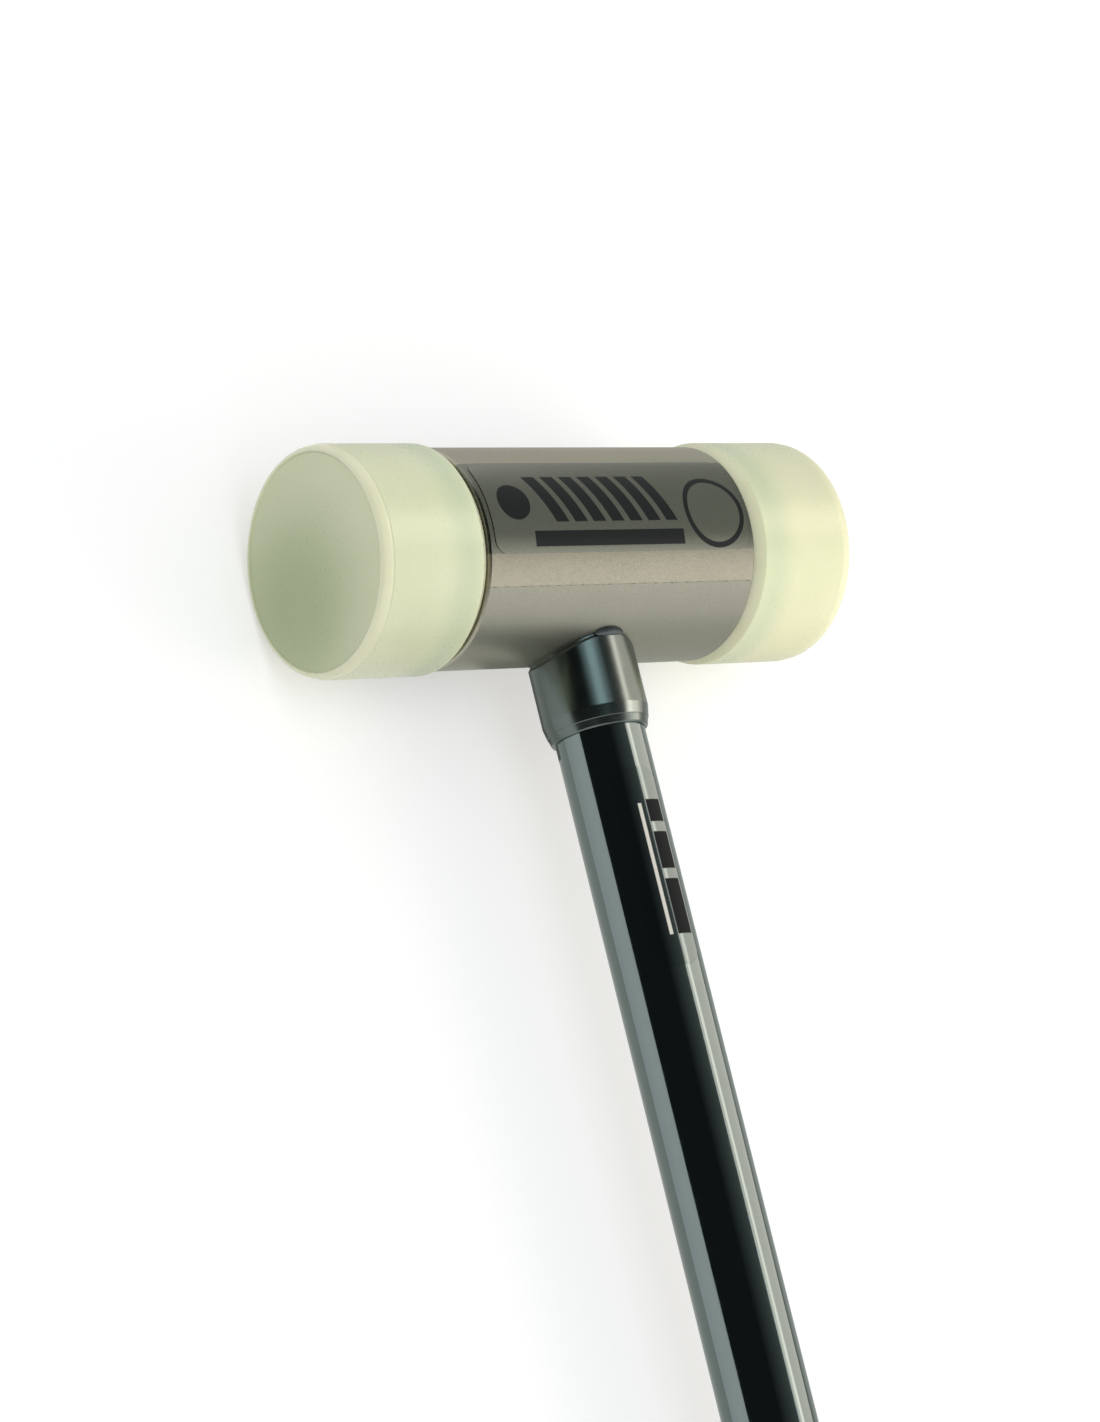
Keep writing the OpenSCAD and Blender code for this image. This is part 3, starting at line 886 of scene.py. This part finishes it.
# Name, place, aim, size, power, colour, whether metal mirrors it, and the only pieces that it lights, if any
LAMPS = (
    ("key_softbox", (0.602, -0.246, 0.647), HEAD_AIM, (0.62, 0.62), 0.5, WARM, True, ()),
    ("right_softbox", (0.28, -0.06, 0.2), (0.02, 0.12, 0.02), (0.2, 0.2), 0.3, AMBER, False, ()),
    ("top_softbox", (-0.2, 0.0, 0.95), (0, 0.1, 0.02), (0.6, 0.6), 1.6, COOL, False, ()),
    ("left_nylon_softbox", (0.5, 0.26, 0.63), HEAD_AIM, (0.3, 0.3), 0.9, WARM, True, LEFT_FACE),
    ("right_nylon_softbox", (0.5, 0.26, 0.63), HEAD_AIM, (0.3, 0.3), 0.95, GOLD, True, RIGHT_FACE),
    ("nylon_low_card", (0.2, -0.1, 0.06), (0.036, 0.132, 0.02), (0.1, 0.1), 0.2, HONEY, False, RIGHT_FACE),
    ("handle_panel", (0.69, 0.2465, 0.405), HANDLE_AIM, (0.5, 0.85), 2.0, ROSE, True, HANDLE),
    ("handle_strip", (0.508, 0.2465, 0.6), HANDLE_AIM, (0.5, 0.1), 0.25, ROSE, True, HANDLE),
    ("collar_panel", (-0.234, 0.31, 0.785), COLLAR_AIM, (0.33, 0.22), 0.45, SKY, True, COLLAR_AND_WELDS),
    ("collar_halo", (-0.234, 0.31, 0.785), COLLAR_AIM, (0.4, 0.58), 0.55, SKY, True, COLLAR),
    ("collar_strip", (0.508, 0.2465, 0.6), COLLAR_AIM, (0.5, 0.1), 0.35, ROSE, True, COLLAR),
    ("crimp_panel", (0.734, 0.02, 0.533), COLLAR_AIM, (0.2, 0.7), 1.5, ROSE, True, COLLAR),
)

# Name, one colour or a left and a right one, and corners
CARDS = (
    ("dark_flag_above", ("#282C2C", "#707674"), (
        (-1, -0.7, 0.9), (0.573, -0.7, 0.9), (0.573, 1.3, 0.9), (-1, 1.3, 0.9))),
    ("dark_flag_side", ("#282C2C",), (
        (-1, -0.7, 0.001), (-1, 1.3, 0.001), (-1, 1.3, 0.9), (-1, -0.7, 0.9))),
    ("grey_flag_right", ("#A0A39B",), (
        (0.9, -0.11, 0.001), (0.9, 1.3, 0.001), (0.9, 1.3, 1.3), (0.9, -0.11, 1.3))),
    ("grey_table_card", ("#CDCFCA",), (
        (-0.02, -0.4, 0.0003), (0.9, -0.4, 0.0003), (0.9, 1.2, 0.0003), (-0.02, 1.2, 0.0003))),
    ("shade_card_under_head", ("#767974",), (
        (-0.0065, 0.104, 0.0004), (0.02, 0.104, 0.0004), (0.02, 0.135, 0.0004), (-0.0065, 0.135, 0.0004))),
)


class HammerStage(bpy.types.Operator):
    """Sets the floor, the lamps, the cards that the metal mirrors, and the camera"""
    bl_idname = "hammer.stage"
    bl_label = "Stage"

    def execute(self, context):
        scene = context.scene
        scene.view_settings.view_transform = "Standard"
        self.floor(scene)
        self.world(scene)
        for lamp in LAMPS:
            self.lamp(*lamp)
        for card in CARDS:
            self.card(*card)
        self.camera(scene)
        return {"FINISHED"}

    def seen(self, tree):
        """One for a ray that shows the background: from the camera, from a mirror or through glass."""
        paths = add(tree, "LightPath").node.outputs
        seen = add(tree, "Math", (paths["Is Camera Ray"], paths["Is Glossy Ray"]), operation="MAXIMUM")
        return add(tree, "Math", (seen, paths["Is Transmission Ray"]), operation="MAXIMUM")

    def floor(self, scene):
        """A wide pale table that keeps the hammer's shadow and glows a little where it is seen."""
        bpy.ops.object.select_all(action="DESELECT")
        bpy.ops.mesh.primitive_circle_add(
            vertices=96, radius=FLOOR_RADIUS, fill_type="NGON", location=(0, 0, -FLOOR_DROP))
        floor = bpy.context.object
        floor.name = "floor"
        material = bpy.data.materials.new("white_table")
        tree = empty(material)
        glow = add(tree, "Math", (self.seen(tree), FLOOR_GLOW), operation="MULTIPLY")
        white = add(tree, "BsdfDiffuse", {"Color": list(scene.hammer_colours.floor)})
        light = add(tree, "Emission", {"Color": (1, 1, 1, 1), "Strength": glow})
        add(tree, "OutputMaterial", {"Surface": add(tree, "AddShader", (white, light))})
        floor.data.materials.append(material)

    def world(self, scene):
        """White where it is seen, and a plain even light on the hammer."""
        scene.world = bpy.data.worlds.new("white_studio")
        tree = empty(scene.world)
        level = add(tree, "MapRange", (self.seen(tree), 0.0, 1.0, SKY_LIGHT, 1.0))
        sky = add(tree, "Background", {"Color": (1, 1, 1, 1), "Strength": level})
        add(tree, "OutputWorld", {"Surface": sky})

    def lamp(self, name, place, aim, size, power, colour, mirrored, only):
        """A soft lamp; the pieces named in only are the ones that it lights, if any are named."""
        bpy.ops.object.light_add(type="AREA", location=place)
        lamp = bpy.context.object
        lamp.name = lamp.data.name = name
        lamp.data.shape = "RECTANGLE"
        lamp.data.size, lamp.data.size_y = size
        lamp.data.energy = power
        lamp.data.color = colour
        lamp.rotation_mode = "QUATERNION"
        lamp.rotation_quaternion = (Vector(aim) - Vector(place)).to_track_quat("-Z", "Y")
        lamp.visible_glossy = mirrored
        lamp.visible_camera = False
        if only:
            group = bpy.data.collections.new(name + "_lights")
            for piece in only:
                group.objects.link(bpy.data.objects[piece])
            lamp.light_linking.receiver_collection = group

    def card(self, name, colours, corners):
        """A card that shows only in reflections; a second colour takes over from the first along X."""
        bpy.ops.object.select_all(action="DESELECT")
        bpy.ops.mesh.primitive_plane_add(size=1)
        card = bpy.context.object
        card.name = name
        for vertex, corner in zip((0, 1, 3, 2), corners):
            card.data.vertices[vertex].co = corner
        material = bpy.data.materials.new(name + "_felt")
        tree = empty(material)
        tone, *right = (linear(colour) for colour in colours)
        if right:
            x = add(tree, "SeparateXYZ", (add(tree, "TexCoord", output="Object"),))
            side = add(tree, "MapRange", (x, -0.2, 0.45))
            tone = add(tree, "Mix", {
                "Factor": side, MIX_A: tone, MIX_B: right[0]}, MIX_OUT, data_type="RGBA")
        felt = add(tree, "Emission", {"Color": tone, "Strength": 1.0})
        add(tree, "OutputMaterial", {"Surface": felt})
        card.data.materials.append(material)
        card.visible_camera = card.visible_diffuse = card.visible_shadow = False
        card.visible_transmission = False

    def camera(self, scene):
        """The photograph's view, from a camera fitted to its outlines."""
        data = bpy.data.cameras.new("camera")
        camera = bpy.data.objects.new("camera", data)
        scene.collection.objects.link(camera)
        place = Vector((-0.43102, -0.05263, 0.51009))
        forward = Vector((0.63177, 0.2396, -0.7372)).normalized()
        up = Vector((0.03889, 0.94003, 0.33886))
        right = forward.cross(up).normalized()
        up = right.cross(forward)
        camera.matrix_world = Matrix.Translation(place) @ Matrix((right, up, -forward)).transposed().to_4x4()
        data.sensor_width = 36
        data.lens = 111.79
        data.clip_start, data.clip_end = 0.01, 50
        scene.camera = camera


class HammerPanel(bpy.types.Panel):
    """Lists the steps that dress the hammer, with its sizes and colours"""
    bl_idname = "VIEW3D_PT_hammer"
    bl_label = "Soft face hammer"
    bl_space_type = "VIEW_3D"
    bl_region_type = "UI"
    bl_category = "Hammer"

    def draw(self, context):
        for operator in OPERATORS:
            self.layout.operator(operator.bl_idname)
        for group in (context.scene.hammer_sizes, context.scene.hammer_colours):
            box = self.layout.box()
            for name in group.bl_rna.properties.keys():
                if name not in ("rna_type", "name"):
                    box.prop(group, name)


OPERATORS = (
    HammerFaces, HammerHead, HammerCollar, HammerHandle, HammerGrip, HammerLabels, HammerStage)
CLASSES = (HammerSizes, HammerColours) + OPERATORS + (HammerPanel,)


def register():
    for cls in CLASSES:
        bpy.utils.register_class(cls)
    bpy.types.Scene.hammer_sizes = PointerProperty(type=HammerSizes)
    bpy.types.Scene.hammer_colours = PointerProperty(type=HammerColours)


def unregister():
    del bpy.types.Scene.hammer_colours
    del bpy.types.Scene.hammer_sizes
    for cls in reversed(CLASSES):
        bpy.utils.unregister_class(cls)


def main():
    register()
    bpy.ops.hammer.faces()
    bpy.ops.hammer.head()
    bpy.ops.hammer.collar()
    bpy.ops.hammer.handle()
    bpy.ops.hammer.grip()
    bpy.ops.hammer.labels()
    bpy.ops.hammer.stage()


if __name__ == "__main__":
    main()
